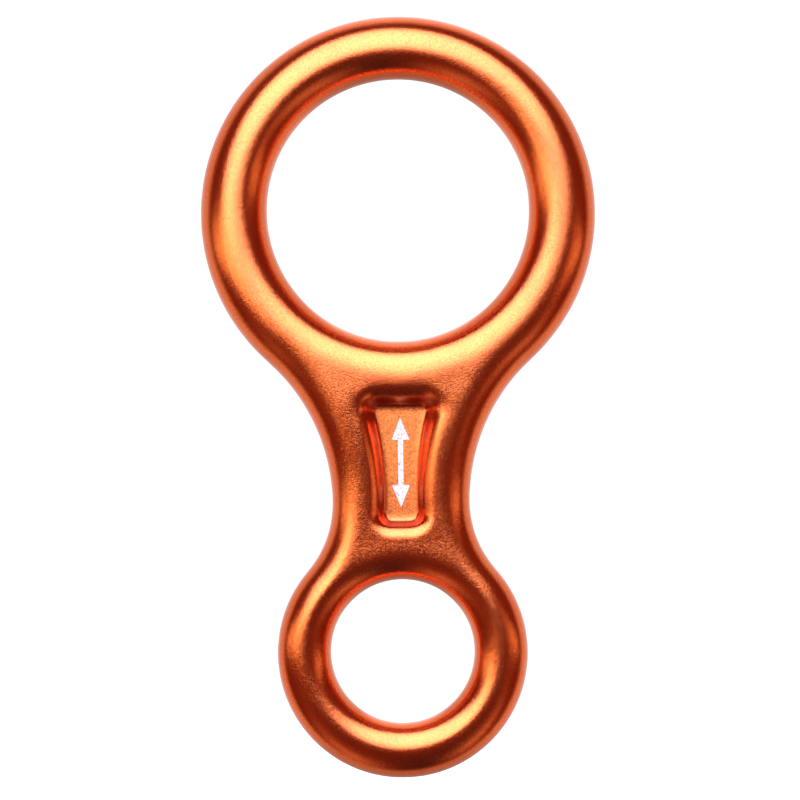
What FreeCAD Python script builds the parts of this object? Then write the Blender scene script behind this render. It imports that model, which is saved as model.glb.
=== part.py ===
import FreeCAD, Part
import os
import math
import Sketcher

V = FreeCAD.Vector

# Rope descender of the figure-eight type: one closed forging with a large rope
# ring, a web and a small carabiner eye, and a thin printed mark in the recess
# of the web.
#
# Frame: millimetres. The origin is the centre of the carabiner eye. +Z runs
# along the load axis to the rope ring, both ring axes run along Y, and the
# marked side of the web faces -Y, called the front.

os.makedirs("parts", exist_ok=True)
doc = FreeCAD.newDocument("descender")

# ---------------------------------------------------------------- sizes
SIZES = [
    # alias, value, meaning
    ("ropeBoreR", 25.0, "rope ring bore radius"),
    ("ropeRingR", 37.6, "rope ring outer radius"),
    ("ropeBoreZ", 84.0, "rope bore centre above the eye centre"),
    ("ropeRingZ", 83.4, "rope ring outer circle centre"),
    ("eyeBoreR", 13.7, "carabiner eye bore radius"),
    ("eyeRingR", 23.85, "carabiner eye outer radius"),
    ("eyeRingDrop", 0.3, "eye outer circle centre below the bore centre"),
    ("neckHalf", 13.1, "half width of the web at the neck"),
    ("flankLowR", 19.8, "concave flank radius from the neck down to the eye"),
    ("ringHalf", 6.1, "half thickness of the rope ring"),
    ("eyeHalf", 5.3, "half thickness of the eye"),
    ("slabSpare", 1.0, "extra thickness of the slab, removed by the facing"),
    ("facingReach", 20.0, "distance from the mid plane to the outside of the facing cut"),
    ("facingMargin", 10.0, "overrun of the facing cut past both rings"),
    ("taperLowZ", 19.5, "height where the web starts to thicken"),
    ("taperTopZ", 52.5, "height where the web reaches the ring thickness"),
    ("roundTop", 5.7, "outer edge radius on the rope ring"),
    ("roundNeck", 5.2, "outer edge radius at the neck"),
    ("roundLow", 4.9, "outer edge radius on the eye"),
    ("ropeMouthR", 5.8, "edge radius of the rope bore"),
    ("eyeMouthR", 4.9, "edge radius of the eye bore"),
    ("trimDepth", 0.05, "material trimmed from the bores with the flash"),
    ("floorHalf", 2.9, "half thickness of the web between the recess floors"),
    ("recessTopZ", 46.80, "top edge of the recess floor"),
    ("recessLowZ", 25.00, "bottom edge of the recess floor"),
    ("recessWaistZ", 30.5, "height of the narrowest part of the recess floor"),
    ("recessWaist", 3.05, "half width of the recess floor at its waist"),
    ("recessSideR", 60.0, "radius of the concave recess sides"),
    ("recessTopCornerR", 0.8, "floor corner radius at the top"),
    ("recessLowCornerR", 1.4, "floor corner radius at the bottom"),
    ("recessDraft", 37.0, "draft of the recess walls, degrees from the floor normal"),
    ("recessCut", 5.0, "length of the recess cut, from the floor out past the face"),
    ("recessRimR", 3.0, "rounding of the recess rim"),
    ("recessFloorR", 0.6, "rounding between recess wall and floor"),
    ("markLength", 17.0, "length of the printed double arrow"),
    ("markMidZ", 36.0, "middle of the printed double arrow"),
    ("markHead", 3.4, "width of the arrow heads"),
    ("markHeadLength", 4.2, "length of the arrow heads"),
    ("markShaft", 1.0, "width of the arrow shaft"),
    ("markFilm", 0.05, "thickness of the printed film"),
]
sheet = doc.addObject("Spreadsheet::Sheet", "sizes")
for row, (alias, value, meaning) in enumerate(SIZES, start=1):
    sheet.set(f"A{row}", alias)
    sheet.set(f"B{row}", repr(value))
    sheet.setAlias(f"B{row}", alias)
    sheet.set(f"C{row}", meaning)
doc.recompute()


def size(name):
    return float(getattr(sheet, name))


# ---------------------------------------------------------------- helpers
# Sketcher's numbers for the points of a curve, the origin and the vertical axis.
START, END, CENTRE = 1, 2, 3
ORIGIN = (-1, 1)
VERTICAL_AXIS = -2


def new_body(name):
    return doc.addObject("PartDesign::Body", name)


def new_sketch(body, name, role, lift=None):
    """Sketch on an origin plane, moved along the plane's normal by an expression."""
    plane = next(item for item in body.Origin.OriginFeatures if item.Role == role)
    sketch = body.newObject("Sketcher::SketchObject", name)
    sketch.AttachmentSupport = [(plane, "")]
    sketch.MapMode = "FlatFace"
    if lift is not None:
        sketch.setExpression("AttachmentOffset.Base.z", lift)
    return sketch


def constrain(sketch, kind, *items):
    """Add one constraint of a kind for each tuple of curves and points."""
    for item in items:
        sketch.addConstraint(Sketcher.Constraint(kind, *item))


def bind(sketch, kind, args, expression, name):
    """Add a named dimension driven by an expression."""
    index = sketch.addConstraint(Sketcher.Constraint(kind, *args))
    sketch.renameConstraint(index, name)
    sketch.setExpression("Constraints." + name, expression)


def place(sketch, kind, curve, point, coordinate, expression, name):
    """Bind a point's distance from the origin, on the side given by the coordinate's sign."""
    if coordinate < 0:
        args = (curve, point, *ORIGIN, -coordinate)
    else:
        args = (*ORIGIN, curve, point, coordinate)
    bind(sketch, kind, args, expression, name)


def circle(x, y, radius):
    return Part.Circle(V(x, y, 0), V(0, 0, 1), radius)


def arc(x, y, radius, angle_from, angle_to):
    return Part.ArcOfCircle(circle(x, y, radius), angle_from, angle_to)


def polyline(points):
    return [Part.LineSegment(V(*a, 0), V(*b, 0)) for a, b in zip(points, points[1:])]


def both_sides(feature):
    # Builds without SideType have the older Midplane property.
    if hasattr(feature, "SideType"):
        feature.SideType = "Symmetric"
    else:
        feature.Midplane = True


def cut_through(body, name, sketch):
    pocket = body.newObject("PartDesign::Pocket", name)
    pocket.Profile = sketch
    pocket.Type = "ThroughAll"
    both_sides(pocket)
    doc.recompute()


def cut_bores(body, sketch_name, pocket_name, stock=None):
    """Cut both bores, smaller in radius by the size named as stock."""
    allowance = size(stock) if stock else 0.0
    less_stock = f" - sizes.{stock}" if stock else ""
    rope_z = size("ropeBoreZ")
    rope_r = size("ropeBoreR") - allowance
    eye_r = size("eyeBoreR") - allowance
    sketch = new_sketch(body, sketch_name, "XZ_Plane")
    rope, eye = sketch.addGeometry([circle(0, rope_z, rope_r), circle(0, 0, eye_r)], False)
    constrain(sketch, "PointOnObject", (rope, CENTRE, VERTICAL_AXIS))
    constrain(sketch, "Coincident", (eye, CENTRE, *ORIGIN))
    place(sketch, "DistanceY", rope, CENTRE, rope_z, "sizes.ropeBoreZ", "ropeZ")
    bind(sketch, "Radius", (rope, rope_r), "sizes.ropeBoreR" + less_stock, "ropeR")
    bind(sketch, "Radius", (eye, eye_r), "sizes.eyeBoreR" + less_stock, "eyeR")
    doc.recompute()
    cut_through(body, pocket_name, sketch)


# ---------------------------------------------------------------- blank
# Start values of the outline arcs, solved from the same sizes the sketch uses.
eye_z, eye_r = -size("eyeRingDrop"), size("eyeRingR")
ring_z, ring_r = size("ropeRingZ"), size("ropeRingR")
neck = size("neckHalf")
low_flank_r = size("flankLowR")
low_flank_x = neck + low_flank_r
# The flank arc centres lie level with the neck, where the flanks are vertical.
neck_z = eye_z + math.sqrt((eye_r + low_flank_r) ** 2 - low_flank_x ** 2)
# The upper flank arc leaves the neck vertically and is tangent to the ring.
top_flank_r = (neck ** 2 + (ring_z - neck_z) ** 2 - ring_r ** 2) / (2 * (ring_r - neck))
top_flank_x = neck + top_flank_r
# Directions from the ring and eye centres to the right flank arc centres.
ring_angle = math.atan2(neck_z - ring_z, top_flank_x)
eye_angle = math.atan2(neck_z - eye_z, low_flank_x)

taper_low, taper_top = size("taperLowZ"), size("taperTopZ")


def draw_outline(body):
    """Front view: ring and eye circles joined by two flank arcs on each side."""
    sketch = new_sketch(body, "outline", "XZ_Plane")
    ring, top_right, low_right, eye, low_left, top_left = sketch.addGeometry([
        arc(0, ring_z, ring_r, ring_angle, math.pi - ring_angle),
        arc(top_flank_x, neck_z, top_flank_r, math.pi + ring_angle, math.pi),
        arc(low_flank_x, neck_z, low_flank_r, math.pi, math.pi + eye_angle),
        arc(0, eye_z, eye_r, math.pi - eye_angle, 2 * math.pi + eye_angle),
        arc(-low_flank_x, neck_z, low_flank_r, -eye_angle, 0),
        arc(-top_flank_x, neck_z, top_flank_r, 0, -ring_angle),
    ], False)
    constrain(sketch, "Tangent",
              (ring, START, top_right, START), (top_right, END, low_right, START),
              (low_right, END, eye, END), (eye, START, low_left, START),
              (low_left, END, top_left, START), (top_left, END, ring, END))
    constrain(sketch, "PointOnObject", (ring, CENTRE, VERTICAL_AXIS), (eye, CENTRE, VERTICAL_AXIS))
    constrain(sketch, "Equal", (low_right, low_left))
    bind(sketch, "Radius", (ring, ring_r), "sizes.ropeRingR", "ringR")
    bind(sketch, "Radius", (eye, eye_r), "sizes.eyeRingR", "eyeR")
    constrain(sketch, "Horizontal",
              (top_right, CENTRE, low_right, CENTRE), (top_left, CENTRE, low_left, CENTRE))
    bind(sketch, "Radius", (low_right, low_flank_r), "sizes.flankLowR", "lowR")
    place(sketch, "DistanceY", ring, CENTRE, ring_z, "sizes.ropeRingZ", "ringZ")
    place(sketch, "DistanceY", eye, CENTRE, eye_z, "sizes.eyeRingDrop", "eyeDrop")
    flank_x = "sizes.neckHalf + sizes.flankLowR"
    place(sketch, "DistanceX", low_right, CENTRE, low_flank_x, flank_x, "lowRX")
    place(sketch, "DistanceX", low_left, CENTRE, -low_flank_x, flank_x, "lowLX")
    doc.recompute()
    return sketch


def draw_side_profile(body):
    """Side view of the material outside the two faces.

    The faces are flat over the rope ring and over the thinner eye, and run from
    one to the other in a slow S curve along the web.
    """
    half_ring, half_eye = size("ringHalf"), size("eyeHalf")
    reach = size("facingReach")
    z_high = ring_z + ring_r + size("facingMargin")
    z_low = eye_z - eye_r - size("facingMargin")
    turn = 2 * math.atan2(half_ring - half_eye, taper_top - taper_low)
    bend_r = (taper_top - taper_low) / 2 / math.sin(turn)
    sides = [
        # side of Y, tag, angles of the lower arc, angles of the upper arc,
        # point at the flat face and point at the joint of the lower arc;
        # the upper arc has these two points the other way round
        (-1, "Front", (0, turn), (math.pi, math.pi + turn), START, END),
        (1, "Back", (math.pi - turn, math.pi), (-turn, 0), END, START),
    ]
    sketch = new_sketch(body, "side_profile", "YZ_Plane")
    for side, tag, low_angles, high_angles, flat_point, joint_point in sides:
        eye_y, ring_y, outer_y = side * half_eye, side * half_ring, side * reach
        low, low_arc, high_arc, high, top, outer, bottom = sketch.addGeometry([
            *polyline([(eye_y, z_low), (eye_y, taper_low)]),
            arc(side * (half_eye + bend_r), taper_low, bend_r, *low_angles),
            arc(side * (half_ring - bend_r), taper_top, bend_r, *high_angles),
            *polyline([(ring_y, taper_top), (ring_y, z_high), (outer_y, z_high),
                       (outer_y, z_low), (eye_y, z_low)]),
        ], False)
        constrain(sketch, "Tangent",
                  (low, END, low_arc, flat_point),
                  (low_arc, joint_point, high_arc, joint_point),
                  (high_arc, flat_point, high, START))
        constrain(sketch, "Coincident",
                  (high, END, top, START), (top, END, outer, START),
                  (outer, END, bottom, START), (bottom, END, low, START))
        constrain(sketch, "Vertical", (low,), (high,), (outer,))
        constrain(sketch, "Horizontal", (top,), (bottom,))
        constrain(sketch, "Equal", (low_arc, high_arc))
        for kind, curve, point, coordinate, expression, name in (
                ("DistanceX", low, END, eye_y, "sizes.eyeHalf", "eye"),
                ("DistanceX", high, START, ring_y, "sizes.ringHalf", "ring"),
                ("DistanceX", outer, START, outer_y, "sizes.facingReach", "outer"),
                ("DistanceY", low, END, taper_low, "sizes.taperLowZ", "taperLow"),
                ("DistanceY", high, START, taper_top, "sizes.taperTopZ", "taperTop"),
                ("DistanceY", high, END, z_high,
                 "sizes.ropeRingZ + sizes.ropeRingR + sizes.facingMargin", "high"),
                ("DistanceY", low, START, z_low,
                 "sizes.eyeRingDrop + sizes.eyeRingR + sizes.facingMargin", "low")):
            place(sketch, kind, curve, point, coordinate, expression, name + tag)
    doc.recompute()
    return sketch


def build_blank():
    """Sharp-edged forging with the bores still under size."""
    body = new_body("blank")
    outline = draw_outline(body)
    slab = body.newObject("PartDesign::Pad", "slab")
    slab.Profile = outline
    slab.Type = "Length"
    both_sides(slab)
    slab.setExpression("Length", "sizes.ringHalf * 2 + sizes.slabSpare")
    doc.recompute()
    cut_through(body, "facing", draw_side_profile(body))
    cut_bores(body, "bores", "punch", stock="trimDepth")
    return body


# ---------------------------------------------------------------- full rounding
def outer_round(z):
    """Outer edge radius at a height, blended by arc length along the flanks."""
    if z <= neck_z:
        flank_r, join_z, end_round = low_flank_r, eye_z + eye_r * math.sin(eye_angle), "roundLow"
    else:
        flank_r, join_z, end_round = top_flank_r, ring_z + ring_r * math.sin(ring_angle), "roundTop"
    if abs(z - neck_z) >= abs(join_z - neck_z) - 1e-4:
        return size(end_round)
    share = math.asin((z - neck_z) / flank_r) / math.asin((join_z - neck_z) / flank_r)
    return size("roundNeck") + (size(end_round) - size("roundNeck")) * share


def round_blank(blank):
    """Round every edge of the two faces at once: the outline and the bore mouths."""
    mouths = [
        # bore centre height, bore radius, edge radius
        (0.0, size("eyeBoreR") - size("trimDepth"), size("eyeMouthR")),
        (size("ropeBoreZ"), size("ropeBoreR") - size("trimDepth"), size("ropeMouthR")),
    ]
    edges = []
    for number, edge in enumerate(blank.Shape.Edges, start=1):
        box = edge.BoundBox
        runs_through = box.YMin < 0 < box.YMax
        crosses_face = box.ZLength < 1e-3
        if runs_through or crosses_face:
            continue
        middle = edge.valueAt((edge.FirstParameter + edge.LastParameter) / 2)
        for bore_z, bore_r, mouth_r in mouths:
            if abs(math.hypot(middle.x, middle.z - bore_z) - bore_r) < 0.01:
                edges.append((number, mouth_r, mouth_r))
                break
        else:
            first = edge.valueAt(edge.FirstParameter)
            last = edge.valueAt(edge.LastParameter)
            edges.append((number, outer_round(first.z), outer_round(last.z)))
    rounding = doc.addObject("Part::Fillet", "rounding")
    rounding.Base = blank
    rounding.Edges = edges
    doc.recompute()
    return rounding


# ---------------------------------------------------------------- web recesses
waist_z, side_r = size("recessWaistZ"), size("recessSideR")
side_x = size("recessWaist") + side_r
floor_top, floor_low = size("recessTopZ"), size("recessLowZ")


def corner_centre(z, radius):
    """X of a floor corner circle touching the right side arc, and the angle to that arc."""
    x = side_x - math.sqrt((side_r + radius) ** 2 - (z - waist_z) ** 2)
    return x, math.atan2(waist_z - z, side_x - x)


def cut_recess(body, tag, lift, along_normal):
    """Drafted pocket from the floor outward.

    The floor has straight top and bottom edges, concave sides that run with the
    flanks, and rounded corners.
    """
    top_r, low_r = size("recessTopCornerR"), size("recessLowCornerR")
    top_z, low_z = floor_top - top_r, floor_low + low_r
    top_x, top_angle = corner_centre(top_z, top_r)
    low_x, low_angle = corner_centre(low_z, low_r)
    sketch = new_sketch(body, "recess_floor_" + tag, "XZ_Plane", lift)
    (top, top_right, right, low_right,
     bottom, low_left, left, top_left) = sketch.addGeometry([
         *polyline([(top_x, floor_top), (-top_x, floor_top)]),
         arc(top_x, top_z, top_r, top_angle, math.pi / 2),
         arc(side_x, waist_z, side_r, math.pi + top_angle, math.pi + low_angle),
         arc(low_x, low_z, low_r, -math.pi / 2, low_angle),
         *polyline([(low_x, floor_low), (-low_x, floor_low)]),
         arc(-low_x, low_z, low_r, math.pi - low_angle, 3 * math.pi / 2),
         arc(-side_x, waist_z, side_r, -low_angle, -top_angle),
         arc(-top_x, top_z, top_r, math.pi / 2, math.pi - top_angle),
     ], False)
    constrain(sketch, "Tangent",
              (top, START, top_right, END), (top_right, START, right, START),
              (right, END, low_right, END), (low_right, START, bottom, START),
              (bottom, END, low_left, END), (low_left, START, left, START),
              (left, END, top_left, END), (top_left, START, top, END))
    constrain(sketch, "Horizontal", (top,), (bottom,))
    constrain(sketch, "Equal", (top_right, top_left), (low_right, low_left), (right, left))
    bind(sketch, "Radius", (top_right, top_r), "sizes.recessTopCornerR", "topCorner")
    bind(sketch, "Radius", (low_right, low_r), "sizes.recessLowCornerR", "lowCorner")
    bind(sketch, "Radius", (right, side_r), "sizes.recessSideR", "sideR")
    centre_x = "sizes.recessWaist + sizes.recessSideR"
    place(sketch, "DistanceY", top, START, floor_top, "sizes.recessTopZ", "topZ")
    place(sketch, "DistanceY", bottom, START, floor_low, "sizes.recessLowZ", "lowZ")
    place(sketch, "DistanceY", right, CENTRE, waist_z, "sizes.recessWaistZ", "waistZ")
    place(sketch, "DistanceX", right, CENTRE, side_x, centre_x, "sideRX")
    place(sketch, "DistanceX", left, CENTRE, -side_x, centre_x, "sideLX")
    place(sketch, "DistanceY", left, CENTRE, waist_z, "sizes.recessWaistZ", "waistLZ")
    doc.recompute()
    pocket = body.newObject("PartDesign::Pocket", "recess_" + tag)
    pocket.Profile = sketch
    pocket.Type = "Length"
    pocket.setExpression("Length", "sizes.recessCut")
    pocket.Reversed = along_normal
    pocket.setExpression("TaperAngle", "sizes.recessDraft")
    doc.recompute()
    return pocket


def in_web(box):
    """Whether an edge's box lies in the region around the recesses."""
    margin_z, half_width = 4.5, 9.5
    return (box.ZMin > floor_low - margin_z and box.ZMax < floor_top + margin_z
            and box.XMin > -half_width and box.XMax < half_width)


def face_level(box):
    return abs((box.YMin + box.YMax) / 2)


def on_floor(edge):
    box = edge.BoundBox
    return (in_web(box) and box.YLength < 0.01
            and abs(face_level(box) - size("floorHalf")) < 0.01)


def on_rim(edge):
    box = edge.BoundBox
    level = face_level(box)
    # Rim edges follow the face, so they span little of the thickness.
    if not in_web(box) or box.YLength > 0.6 or level < size("eyeHalf") - 0.2:
        return False
    # Leave out the joint between the two arcs of the S curve.
    if box.ZLength < 1e-3 and abs(box.ZMin - (taper_low + taper_top) / 2) < 0.05:
        return False
    middle = edge.valueAt((edge.FirstParameter + edge.LastParameter) / 2)
    wall = (level - size("floorHalf")) * math.tan(math.radians(size("recessDraft")))
    side = side_x - math.sqrt(side_r ** 2 - (middle.z - waist_z) ** 2)
    return abs(middle.x) < side + wall + 0.4


def round_edges(body, name, base, selector, expected, radius):
    """Fillet the selected edges of a feature, which must be the expected number."""
    names = [f"Edge{number}" for number, edge in enumerate(base.Shape.Edges, start=1)
             if selector(edge)]
    if len(names) != expected:
        raise RuntimeError(f"{name} edges: {len(names)}")
    fillet = body.newObject("PartDesign::Fillet", name)
    fillet.Base = (base, names)
    fillet.setExpression("Radius", radius)
    doc.recompute()
    return fillet


def build_forging(rounding):
    """Finished descender: bores trimmed to size and a recess on each side of the web."""
    body = new_body("forging")
    body.BaseFeature = rounding
    doc.recompute()
    cut_bores(body, "bore_trim", "trim_cut")
    # The sketch plane's normal points to -Y, so the front floor lifts along it.
    cut_recess(body, "front", "sizes.floorHalf", along_normal=True)
    recesses = cut_recess(body, "back", "-sizes.floorHalf", along_normal=False)
    rim = round_edges(body, "recess_rim", recesses, on_rim, 20, "sizes.recessRimR")
    round_edges(body, "recess_root", rim, on_floor, 16, "sizes.recessFloorR")
    body.Label = "body"
    return body


# ---------------------------------------------------------------- printed mark
def draw_arrow(body):
    """Double arrow along the load axis; line k starts at corner k, clockwise from the top tip."""
    middle, half_length = size("markMidZ"), size("markLength") / 2
    head, head_length = size("markHead") / 2, size("markHeadLength")
    shaft = size("markShaft") / 2
    tip_high, tip_low = middle + half_length, middle - half_length
    neck_high, neck_low = tip_high - head_length, tip_low + head_length
    corners = [
        (0, tip_high), (head, neck_high), (shaft, neck_high), (shaft, neck_low), (head, neck_low),
        (0, tip_low), (-head, neck_low), (-shaft, neck_low), (-shaft, neck_high),
        (-head, neck_high),
    ]
    sketch = new_sketch(body, "arrow", "XZ_Plane", "sizes.floorHalf")
    lines = sketch.addGeometry(polyline(corners + corners[:1]), False)
    for line, following in zip(lines, lines[1:] + lines[:1]):
        constrain(sketch, "Coincident", (line, END, following, START))
    constrain(sketch, "PointOnObject", *[(lines[k], START, VERTICAL_AXIS) for k in (0, 5)])
    constrain(sketch, "Horizontal", *[(lines[k],) for k in (1, 3, 6, 8)])
    constrain(sketch, "Vertical", *[(lines[k],) for k in (2, 7)])
    place(sketch, "DistanceY", lines[0], START, tip_high,
          "sizes.markMidZ + sizes.markLength / 2", "tipHigh")
    place(sketch, "DistanceY", lines[5], START, tip_low,
          "sizes.markMidZ - sizes.markLength / 2", "tipLow")
    for lower, upper, name in ((1, 0, "headHigha"), (9, 0, "headHighb"),
                               (5, 4, "headLowa"), (5, 6, "headLowb")):
        bind(sketch, "DistanceY", (lines[lower], START, lines[upper], START, head_length),
             "sizes.markHeadLength", name)
    for k, x, width, name in ((1, head, "markHead", "headRighta"),
                              (4, head, "markHead", "headRightb"),
                              (6, -head, "markHead", "headLefta"),
                              (9, -head, "markHead", "headLeftb"),
                              (2, shaft, "markShaft", "shaftRight"),
                              (7, -shaft, "markShaft", "shaftLeft")):
        place(sketch, "DistanceX", lines[k], START, x, f"sizes.{width} / 2", name)
    doc.recompute()
    return sketch


def build_mark():
    """Thin film standing on the front recess floor."""
    body = new_body("axis_mark")
    arrow = draw_arrow(body)
    film = body.newObject("PartDesign::Pad", "film")
    film.Profile = arrow
    film.Type = "Length"
    film.setExpression("Length", "sizes.markFilm")
    doc.recompute()
    if body.Shape.BoundBox.YMax > -size("floorHalf") + 1e-6:
        raise RuntimeError("the mark is not on the front floor")
    return body


# ---------------------------------------------------------------- build, check, export
def export(body):
    solids = body.Shape.Solids
    if len(solids) != 1:
        raise RuntimeError(f"{body.Label}: expected one solid, got {len(solids)}")
    if not body.Shape.isValid():
        raise RuntimeError("bad shape: " + body.Label)
    solids[0].exportStep("parts/" + body.Label + ".step")


forging = build_forging(round_blank(build_blank()))
mark = build_mark()
doc.recompute()
for item in doc.Objects:
    if "Invalid" in item.State or "Error" in item.State:
        raise RuntimeError(f"{item.Label} is {item.State}")
for piece in (forging, mark):
    export(piece)
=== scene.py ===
"""An orange anodised forging with rings, a web and shallow recesses, and a white printed mark.

It stands along Z with its width along X and its thickness along Y. The camera
looks along +Y, so the -Y side is the front. All lengths are in metres.
"""

import math
import bpy
from mathutils import Matrix, Vector


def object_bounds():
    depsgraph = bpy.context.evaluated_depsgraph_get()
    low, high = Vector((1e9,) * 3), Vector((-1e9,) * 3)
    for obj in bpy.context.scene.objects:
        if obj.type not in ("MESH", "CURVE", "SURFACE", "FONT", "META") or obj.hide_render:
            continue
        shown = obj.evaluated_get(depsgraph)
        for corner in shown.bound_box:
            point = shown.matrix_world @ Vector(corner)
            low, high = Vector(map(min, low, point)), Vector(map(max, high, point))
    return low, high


# Forging skin
WELD_GAP = 0.00001
VOXEL_SIZE = 0.00044
RELAX_ROUNDS = 36
RECESS_RELAX = 0.04          # share of the relaxing that reaches the recesses

# Floor
FLOOR_RADIUS = 0.45
FLOOR_SEGMENTS = 96
FLOOR_GAP = 0.008            # clear height between the object and the floor

# Camera
CAMERA_DISTANCE = 0.80
CAMERA_HEIGHT = 0.04786
CAMERA_ROLL = math.radians(0.65)    # clockwise, seen from behind the camera
VIEW_WIDTH = 0.15256         # width of the view at the object's mid plane
SENSOR_WIDTH = 36.0          # millimetres, like the lens

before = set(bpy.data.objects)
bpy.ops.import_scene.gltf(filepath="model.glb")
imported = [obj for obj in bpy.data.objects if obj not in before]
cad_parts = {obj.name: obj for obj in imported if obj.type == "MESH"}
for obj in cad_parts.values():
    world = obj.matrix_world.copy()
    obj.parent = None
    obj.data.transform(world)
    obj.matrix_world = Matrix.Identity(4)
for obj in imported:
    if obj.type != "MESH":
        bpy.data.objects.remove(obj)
cad_low, cad_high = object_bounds()

scene = bpy.context.scene
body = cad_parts["body"]
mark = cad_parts["axis_mark"]


# ------------------------------------------------------------------ node helpers
class Tree:
    """Builds a node tree; every value may be a number, a tuple or an output socket."""

    def __init__(self, tree):
        self.tree = tree
        tree.nodes.clear()

    def put(self, socket, value):
        if isinstance(value, bpy.types.NodeSocket):
            self.tree.links.new(value, socket)
        else:
            socket.default_value = value

    def add(self, kind, inputs=None, **settings):
        """Adds a node; inputs maps socket names or numbers to values."""
        node = self.tree.nodes.new(kind)
        for name, value in settings.items():
            setattr(node, name, value)
        for key, value in (inputs or {}).items():
            self.put(node.inputs[key], value)
        return node

    def calc(self, operation, *values):
        inputs = dict(enumerate(values))
        return self.add("ShaderNodeMath", inputs, operation=operation).outputs[0]

    def plus(self, a, b):
        return self.calc("ADD", a, b)

    def minus(self, a, b):
        return self.calc("SUBTRACT", a, b)

    def times(self, a, b):
        return self.calc("MULTIPLY", a, b)

    def vector(self, operation, inputs, output=0):
        node = self.add("ShaderNodeVectorMath", inputs, operation=operation)
        return node.outputs[output]

    def split(self, vector):
        return self.add("ShaderNodeSeparateXYZ", {0: vector}).outputs

    def remap(self, value, start, end, at_start=0.0, at_end=1.0):
        """Smooth step between two values as the input goes from start to end."""
        inputs = dict(enumerate((value, start, end, at_start, at_end)))
        return self.add("ShaderNodeMapRange", inputs, interpolation_type="SMOOTHSTEP").outputs[0]

    def mix(self, factor, first, second, blend="MIX"):
        inputs = {0: factor, 6: first, 7: second}
        return self.add("ShaderNodeMix", inputs, data_type="RGBA", blend_type=blend).outputs[2]

    def grey(self, value):
        return self.add("ShaderNodeCombineColor", dict.fromkeys(range(3), value)).outputs[0]

    def position(self):
        return self.add("ShaderNodeNewGeometry").outputs["Position"]

    def noise(self, vector, scale, detail, roughness):
        inputs = {"Vector": vector, "Scale": scale, "Detail": detail, "Roughness": roughness}
        return self.add("ShaderNodeTexNoise", inputs, noise_dimensions="3D").outputs[0]

    def bump(self, height, strength, distance):
        inputs = {"Strength": strength, "Distance": distance, "Height": height}
        return self.add("ShaderNodeBump", inputs).outputs[0]


def new_material(name):
    material = bpy.data.materials.new(name)
    material.use_nodes = True
    return material, Tree(material.node_tree)


# ------------------------------------------------------------------ materials
def recess_mask(t, position):
    """1 on the recess floors, 0 elsewhere."""
    def within(distance, inner, outer):
        size = t.calc("ABSOLUTE", distance)
        return t.remap(size, start=inner, end=outer, at_start=1.0, at_end=0.0)

    x, y, z = t.split(position)
    shallow = within(y, inner=0.00290, outer=0.00312)
    narrow = within(x, inner=0.0058, outer=0.0066)
    recess_middle = 0.0358
    short = within(t.minus(z, recess_middle), inner=0.0110, outer=0.0125)
    return t.times(t.times(shallow, narrow), short)


def blasted_colour_and_shade(t, position, tint, recess):
    """Dyed orange with uneven specks, with painted shade in the hollows and a painted golden
    sheen on the recess floors.
    """
    # Dye depth varies a little.
    dye = t.remap(tint, start=0.35, end=0.65)
    base = t.mix(dye, (0.86, 0.158, 0.022, 1), (0.89, 0.182, 0.026, 1))

    # Painted shade: the hollows are painted deep red by ambient occlusion, the recess floors
    # less so.
    occlusion = t.add("ShaderNodeAmbientOcclusion", {"Distance": 0.0080}, samples=8)
    painted_hollow_shade = t.remap(occlusion.outputs["AO"], start=0.66, end=0.95, at_start=0.92, at_end=0.0)
    recess_shade_relief = 0.8
    painted_hollow_shade = t.times(painted_hollow_shade, t.minus(1.0, t.times(recess, recess_shade_relief)))
    # Painted golden sheen on the recess floors, standing in for how they look lit.
    recess_painted_sheen = (1.0, 1.16, 0.85, 1)
    base = t.mix(recess, base, t.mix(1.0, base, recess_painted_sheen, "MULTIPLY"))
    # Painted shade: deep red where the hollows are.
    base = t.mix(painted_hollow_shade, base, (0.37, 0.042, 0.014, 1))

    # Blasted grain catches the light unevenly from speck to speck.
    speck = t.noise(position, scale=3600.0, detail=2.0, roughness=0.75)
    speck_middle, speck_gain, recess_gain, darkest = 0.56, 1.2, 1.3, 0.3
    gain = t.plus(speck_gain, t.times(recess, recess_gain))
    fleck = t.times(t.minus(speck, speck_middle), gain)
    fleck = t.calc("MAXIMUM", t.plus(1.0, fleck), darkest)
    return t.mix(1.0, base, t.grey(fleck), "MULTIPLY")


def dimpled_normal(t, position, normal):
    """Leans the normal its own way in each dimple of the blasting."""
    dimple_lean = 0.022
    dimple = t.add("ShaderNodeTexVoronoi", {"Scale": 3500.0, "Vector": position}, feature="F1")
    away = t.vector("SUBTRACT", {0: dimple.outputs["Color"], 1: (0.5, 0.5, 0.5)})
    lean = t.vector("SCALE", {0: away, "Scale": dimple_lean})
    return t.vector("NORMALIZE", {0: t.vector("ADD", {0: normal, 1: lean})})


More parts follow.
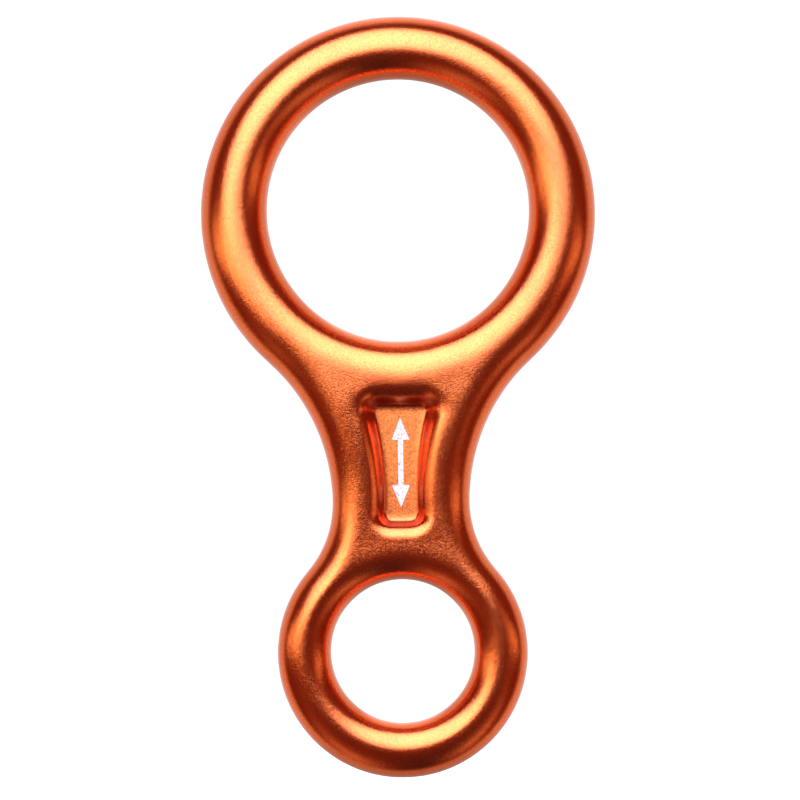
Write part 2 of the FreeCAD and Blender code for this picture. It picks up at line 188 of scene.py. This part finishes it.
def anodised_forging():
    """Orange anodised aluminium over a fine bead-blasted forging skin."""
    material, t = new_material("orange_anodised")
    position = t.position()
    # Fine grain, coarser pits, a slow waviness and an even slower dye variation.
    grain = t.noise(position, scale=3300.0, detail=3.0, roughness=0.70)
    pits = t.noise(position, scale=1300.0, detail=3.0, roughness=0.55)
    wave = t.noise(position, scale=140.0, detail=2.0, roughness=0.5)
    tint = t.noise(position, scale=60.0, detail=3.0, roughness=0.6)
    recess = recess_mask(t, position)

    # Heights of the bump layers; the grain is coarser on the recess floors.
    grain_height, recess_extra, pit_height, wave_height = 0.026, 0.030, 0.006, 0.030
    coarseness = t.plus(grain_height, t.times(recess, recess_extra))
    height = t.plus(t.times(grain, coarseness), t.times(pits, pit_height))
    height = t.plus(height, t.times(wave, wave_height))
    bumped = t.bump(height, strength=1.0, distance=0.001)
    normal = dimpled_normal(t, position, bumped)

    # Roughness: a base value and how much grain, dye and recess add to it.
    smoothest, from_grain, from_tint, from_recess = 0.17, 0.20, 0.06, 0.20
    roughness = t.plus(smoothest, t.times(t.minus(grain, 0.5), from_grain))
    roughness = t.plus(roughness, t.times(t.minus(tint, 0.5), from_tint))
    roughness = t.plus(roughness, t.times(recess, from_recess))

    shader = t.add("ShaderNodeBsdfPrincipled", {
        "Base Color": blasted_colour_and_shade(t, position, tint, recess),
        "Metallic": 1.0,
        "Roughness": roughness,
        "Coat Weight": 0.5,
        "Coat IOR": 1.5,
        "Coat Roughness": roughness,
        "Normal": normal,
        "Coat Normal": normal,
    })
    t.add("ShaderNodeOutputMaterial", {0: shader.outputs[0]})
    return material


def print_ink():
    """White printed film, slightly uneven where it sits on the blasted skin."""
    material, t = new_material("white_print")
    cover = t.noise(t.position(), scale=2600.0, detail=3.0, roughness=0.6)
    thin, full = (0.30, 0.14, 0.07, 1), (0.385, 0.365, 0.375, 1)
    shader = t.add("ShaderNodeBsdfPrincipled", {
        "Base Color": t.mix(t.remap(cover, start=0.36, end=0.46), thin, full),
        "Roughness": t.remap(cover, start=0.3, end=0.7, at_start=0.45, at_end=0.6),
        "Normal": t.bump(cover, strength=0.6, distance=0.00002),
    })
    t.add("ShaderNodeOutputMaterial", {0: shader.outputs[0]})
    return material


def floor_material():
    """Pale matte floor that thins out to nothing towards its rim."""
    material, t = new_material("pale_floor")
    radius = t.vector("LENGTH", {0: t.position()}, output="Value")
    cover = t.remap(radius, start=0.16, end=0.42, at_start=1.0, at_end=0.0)
    matte = t.add("ShaderNodeBsdfDiffuse", {"Color": (0.95, 0.92, 0.88, 1)})
    clear = t.add("ShaderNodeBsdfTransparent")
    mixed = t.add("ShaderNodeMixShader", {0: cover, 1: clear.outputs[0], 2: matte.outputs[0]})
    t.add("ShaderNodeOutputMaterial", {0: mixed.outputs[0]})
    return material


def set_material(item, material):
    for slot in item.material_slots:
        slot.material = material
    if not item.material_slots:
        item.data.materials.append(material)


# ------------------------------------------------------------------ forging surface
def relax_group():
    """Evens out the skin without shrinking it: fully around the middle block,
    gently within it, where the recesses keep crisp edges."""
    group = bpy.data.node_groups.new("relax_skin", "GeometryNodeTree")
    for direction in ("INPUT", "OUTPUT"):
        group.interface.new_socket(name="Geometry", in_out=direction,
                                   socket_type="NodeSocketGeometry")
    t = Tree(group)
    geometry = t.add("NodeGroupInput").outputs[0]
    position = t.add("GeometryNodeInputPosition").outputs[0]
    x, _, z = t.split(position)

    beside = t.remap(t.calc("ABSOLUTE", x), start=0.0075, end=0.0100)
    above = t.remap(z, start=0.0500, end=0.0530)
    below = t.remap(t.times(z, -1.0), start=-0.0210, end=-0.0180)
    outside = t.calc("MAXIMUM", beside, t.calc("MAXIMUM", above, below))
    weight = t.calc("MAXIMUM", outside, RECESS_RELAX)

    def blurred(value):
        inputs = {"Value": value, "Iterations": RELAX_ROUNDS, "Weight": weight}
        return t.add("GeometryNodeBlurAttribute", inputs, data_type="FLOAT_VECTOR").outputs[0]

    # Twice the first blur less the second gives back what the blur shrank.
    once = blurred(position)
    twice = blurred(once)
    doubled = t.vector("SCALE", {0: once, "Scale": 2.0})
    relaxed = t.vector("SUBTRACT", {0: doubled, 1: twice})
    moved = t.add("GeometryNodeSetPosition", {"Geometry": geometry, "Position": relaxed})
    t.add("NodeGroupOutput", {0: moved.outputs[0]})
    return group


def smooth_forging():
    """One even skin over the whole forging, so that the blends flow into each other."""
    weld = body.modifiers.new("weld", "WELD")
    weld.merge_threshold = WELD_GAP
    skin = body.modifiers.new("skin", "REMESH")
    skin.mode = "VOXEL"
    skin.voxel_size = VOXEL_SIZE
    skin.use_smooth_shade = True
    relax = body.modifiers.new("relax", "NODES")
    relax.node_group = relax_group()


# ------------------------------------------------------------------ floor
def build_floor():
    bpy.ops.mesh.primitive_circle_add(vertices=FLOOR_SEGMENTS, radius=FLOOR_RADIUS,
                                      fill_type="TRIFAN", location=(0, 0, 0))
    floor = bpy.context.active_object
    floor.name = "floor"
    for vertex in floor.data.vertices:
        vertex.co.z = cad_low.z - FLOOR_GAP
    floor.data.materials.append(floor_material())
    floor.visible_glossy = False


# ------------------------------------------------------------------ camera
def build_camera():
    data = bpy.data.cameras.new("camera")
    data.sensor_width = SENSOR_WIDTH
    data.lens = SENSOR_WIDTH * CAMERA_DISTANCE / VIEW_WIDTH
    data.clip_start = 0.01
    data.clip_end = 20.0
    camera = bpy.data.objects.new("camera", data)
    scene.collection.objects.link(camera)
    camera.matrix_world = (Matrix.Translation(Vector((0.0, -CAMERA_DISTANCE, CAMERA_HEIGHT)))
                           @ Matrix.Rotation(math.radians(90), 4, "X")
                           @ Matrix.Rotation(-CAMERA_ROLL, 4, "Z"))
    scene.camera = camera
    return camera


# ------------------------------------------------------------------ lights
def softbox(camera, name, place, aim, side, size, radiance, colour, rim_loss):
    """A soft oval panel that moves with the camera. place, aim and side are in
    camera axes: x right, y up, z toward the camera, from the point
    CAMERA_DISTANCE ahead of it. side is the direction of the panel's width.
    rim_loss is how much weaker its rim is than its middle."""
    width, height = size
    data = bpy.data.lights.new(name, "AREA")
    data.shape = "ELLIPSE"
    data.size = width
    data.size_y = height
    data.energy = radiance * math.pi * (math.pi / 4 * width * height)
    data.color = colour
    data.use_nodes = True
    t = Tree(data.node_tree)
    spot = t.add("ShaderNodeNewGeometry").outputs["Parametric"]
    radius = t.vector("DISTANCE", {0: spot, 1: (0.5, 0.5, 0.0)}, output="Value")
    # The radius is 0.5 at the rim, so its square times -4 is -1 there.
    loss = t.times(t.calc("POWER", radius, 2.0), -4.0 * rim_loss)
    glow = t.add("ShaderNodeEmission", {"Strength": t.plus(1.0, loss)})
    t.add("ShaderNodeOutputLight", {0: glow.outputs[0]})

    panel = bpy.data.objects.new(name, data)
    scene.collection.objects.link(panel)
    place = Vector(place)
    back = (place - Vector(aim)).normalized()
    side = Vector(side)
    side = (side - back * side.dot(back)).normalized()
    turn = Matrix((side, back.cross(side), back)).transposed().to_4x4()
    panel.visible_camera = False
    panel.parent = camera
    panel.matrix_local = Matrix.Translation(place - Vector((0, 0, CAMERA_DISTANCE))) @ turn


def build_lights(camera):
    # One large oval softbox, above and in front of the object, its left side a little lower.
    key_distance, key_shift_left, key_shift_down = 0.58, 0.092, 0.008
    key_lean = math.radians(21)
    facing = Vector((0.0, 0.636, 0.772)).normalized()
    across = Vector((1, 0, 0))
    upward = facing.cross(across)
    side = across * math.cos(key_lean) + upward * math.sin(key_lean)
    centre = facing * key_distance - side * key_shift_left - upward * key_shift_down
    softbox(camera, "key", place=centre, aim=centre - facing, side=side, size=(0.86, 0.80),
            radiance=5.6, colour=(0.86, 1.03, 1.60), rim_loss=0.50)

    # A flat panel to the left, level with the lens.
    lip_tip = math.radians(6)
    softbox(camera, "lip", place=(-0.206, 0.006, 0.395), aim=(-0.060, 0.006, 0.0),
            side=(math.cos(lip_tip), math.sin(lip_tip), 0.0), size=(0.34, 0.120),
            radiance=2.65, colour=(1.0, 1.0, 0.96), rim_loss=0.5)

    # Two low pale cards, one each side of the view.
    softbox(camera, "left_card", place=(-0.345, -0.014, 0.235), aim=(0.0, 0.0, 0.0),
            side=(0.59, 0.06, 0.80), size=(0.44, 0.105),
            radiance=1.45, colour=(1.0, 0.97, 0.92), rim_loss=0.6)
    softbox(camera, "right_card", place=(0.350, -0.026, 0.245), aim=(0.0, 0.0, 0.0),
            side=(-0.59, 0.06, 0.80), size=(0.40, 0.070),
            radiance=1.30, colour=(1.0, 0.80, 0.78), rim_loss=0.6)


# ------------------------------------------------------------------ surround
# Soft-edged patches of the room: centre (right, up), spread (right, up), colour.
ROOM_PATCHES = (
    ((-0.25, -0.50), (0.09, 0.13), (0.75, 0.50, 0.50, 1)),      # low left, pale
    ((0.28, -0.36), (0.07, 0.11), (0.85, 0.60, 0.60, 1)),       # low right, pale
    ((0.07, -0.45), (0.09, 0.26), (0.060, 0.045, 0.08, 1)),     # low middle, dark
)
PATCH_TURN = math.radians(0.0)      # turn of every patch about its centre


def room_patch(t, tone, right, up, centre, spread, colour):
    """Lays one patch over the tone."""
    cosine, sine = math.cos(PATCH_TURN), math.sin(PATCH_TURN)
    off_right = t.minus(right, centre[0])
    off_up = t.minus(up, centre[1])
    turned_right = t.plus(t.times(off_right, cosine), t.times(off_up, sine))
    turned_up = t.minus(t.times(off_up, cosine), t.times(off_right, sine))
    a = t.calc("DIVIDE", turned_right, spread[0])
    b = t.calc("DIVIDE", turned_up, spread[1])
    square = t.plus(t.times(a, a), t.times(b, b))
    return t.mix(t.calc("EXPONENT", t.times(square, -0.5)), tone, colour)


def build_surround():
    """What the skin mirrors besides the lights: white behind the object and a
    dim warm room in front of it. It is laid out in camera axes by the tilt of
    the surface that mirrors it, to the right and upward, both from -1 to 1."""
    world = bpy.data.worlds.new("surround")
    scene.world = world
    world.use_nodes = True
    t = Tree(world.node_tree)
    direction = t.add("ShaderNodeTexCoord").outputs["Generated"]
    turned = t.add("ShaderNodeVectorTransform", {0: direction}, vector_type="VECTOR",
                   convert_from="WORLD", convert_to="CAMERA")
    x, y, depth = t.split(turned.outputs[0])
    span = t.calc("MAXIMUM", t.minus(2.0, t.times(depth, 2.0)), 1e-4)   # never zero
    span = t.calc("SQRT", span)
    right = t.calc("DIVIDE", x, span)
    up = t.calc("DIVIDE", y, span)
    tilt = t.calc("SQRT", t.plus(t.times(right, right), t.times(up, up)))

    tone = (0.210, 0.047, 0.042, 1)
    for centre, spread, colour in ROOM_PATCHES:
        tone = room_patch(t, tone, right, up, centre, spread, colour)

    # The white starts at a steep tilt, a little later at the top and sooner low down.
    edge = t.minus(tilt, t.remap(up, start=0.2, end=0.7, at_start=0.0, at_end=0.03))
    edge = t.plus(edge, t.remap(up, start=-0.40, end=-0.10, at_start=0.03, at_end=0.0))
    behind = t.remap(edge, start=0.67, end=0.80)
    level = t.remap(up, start=-0.95, end=-0.45, at_start=0.44, at_end=0.82)
    level = t.plus(level, t.remap(up, start=0.70, end=0.90, at_start=0.0, at_end=0.40))
    white = t.mix(1.0, t.grey(level), (1.09, 0.89, 0.87, 1), "MULTIPLY")
    tone = t.mix(behind, tone, white)

    # Plain white for the backdrop and for the light on matte surfaces.
    rays = t.add("ShaderNodeLightPath").outputs
    tone = t.mix(rays["Is Camera Ray"], tone, (1.10, 1.10, 1.10, 1))
    tone = t.mix(rays["Is Diffuse Ray"], tone, (1.3, 1.3, 1.3, 1))
    backdrop = t.add("ShaderNodeBackground", {"Color": tone, "Strength": 1.0})
    t.add("ShaderNodeOutputWorld", {0: backdrop.outputs[0]})


# ------------------------------------------------------------------ build
set_material(body, anodised_forging())
set_material(mark, print_ink())
smooth_forging()
build_floor()
build_lights(build_camera())
build_surround()
scene.view_settings.view_transform = "Standard"
scene.view_settings.look = "None"
scene.view_settings.exposure = 0.0
scene.view_settings.gamma = 1.0
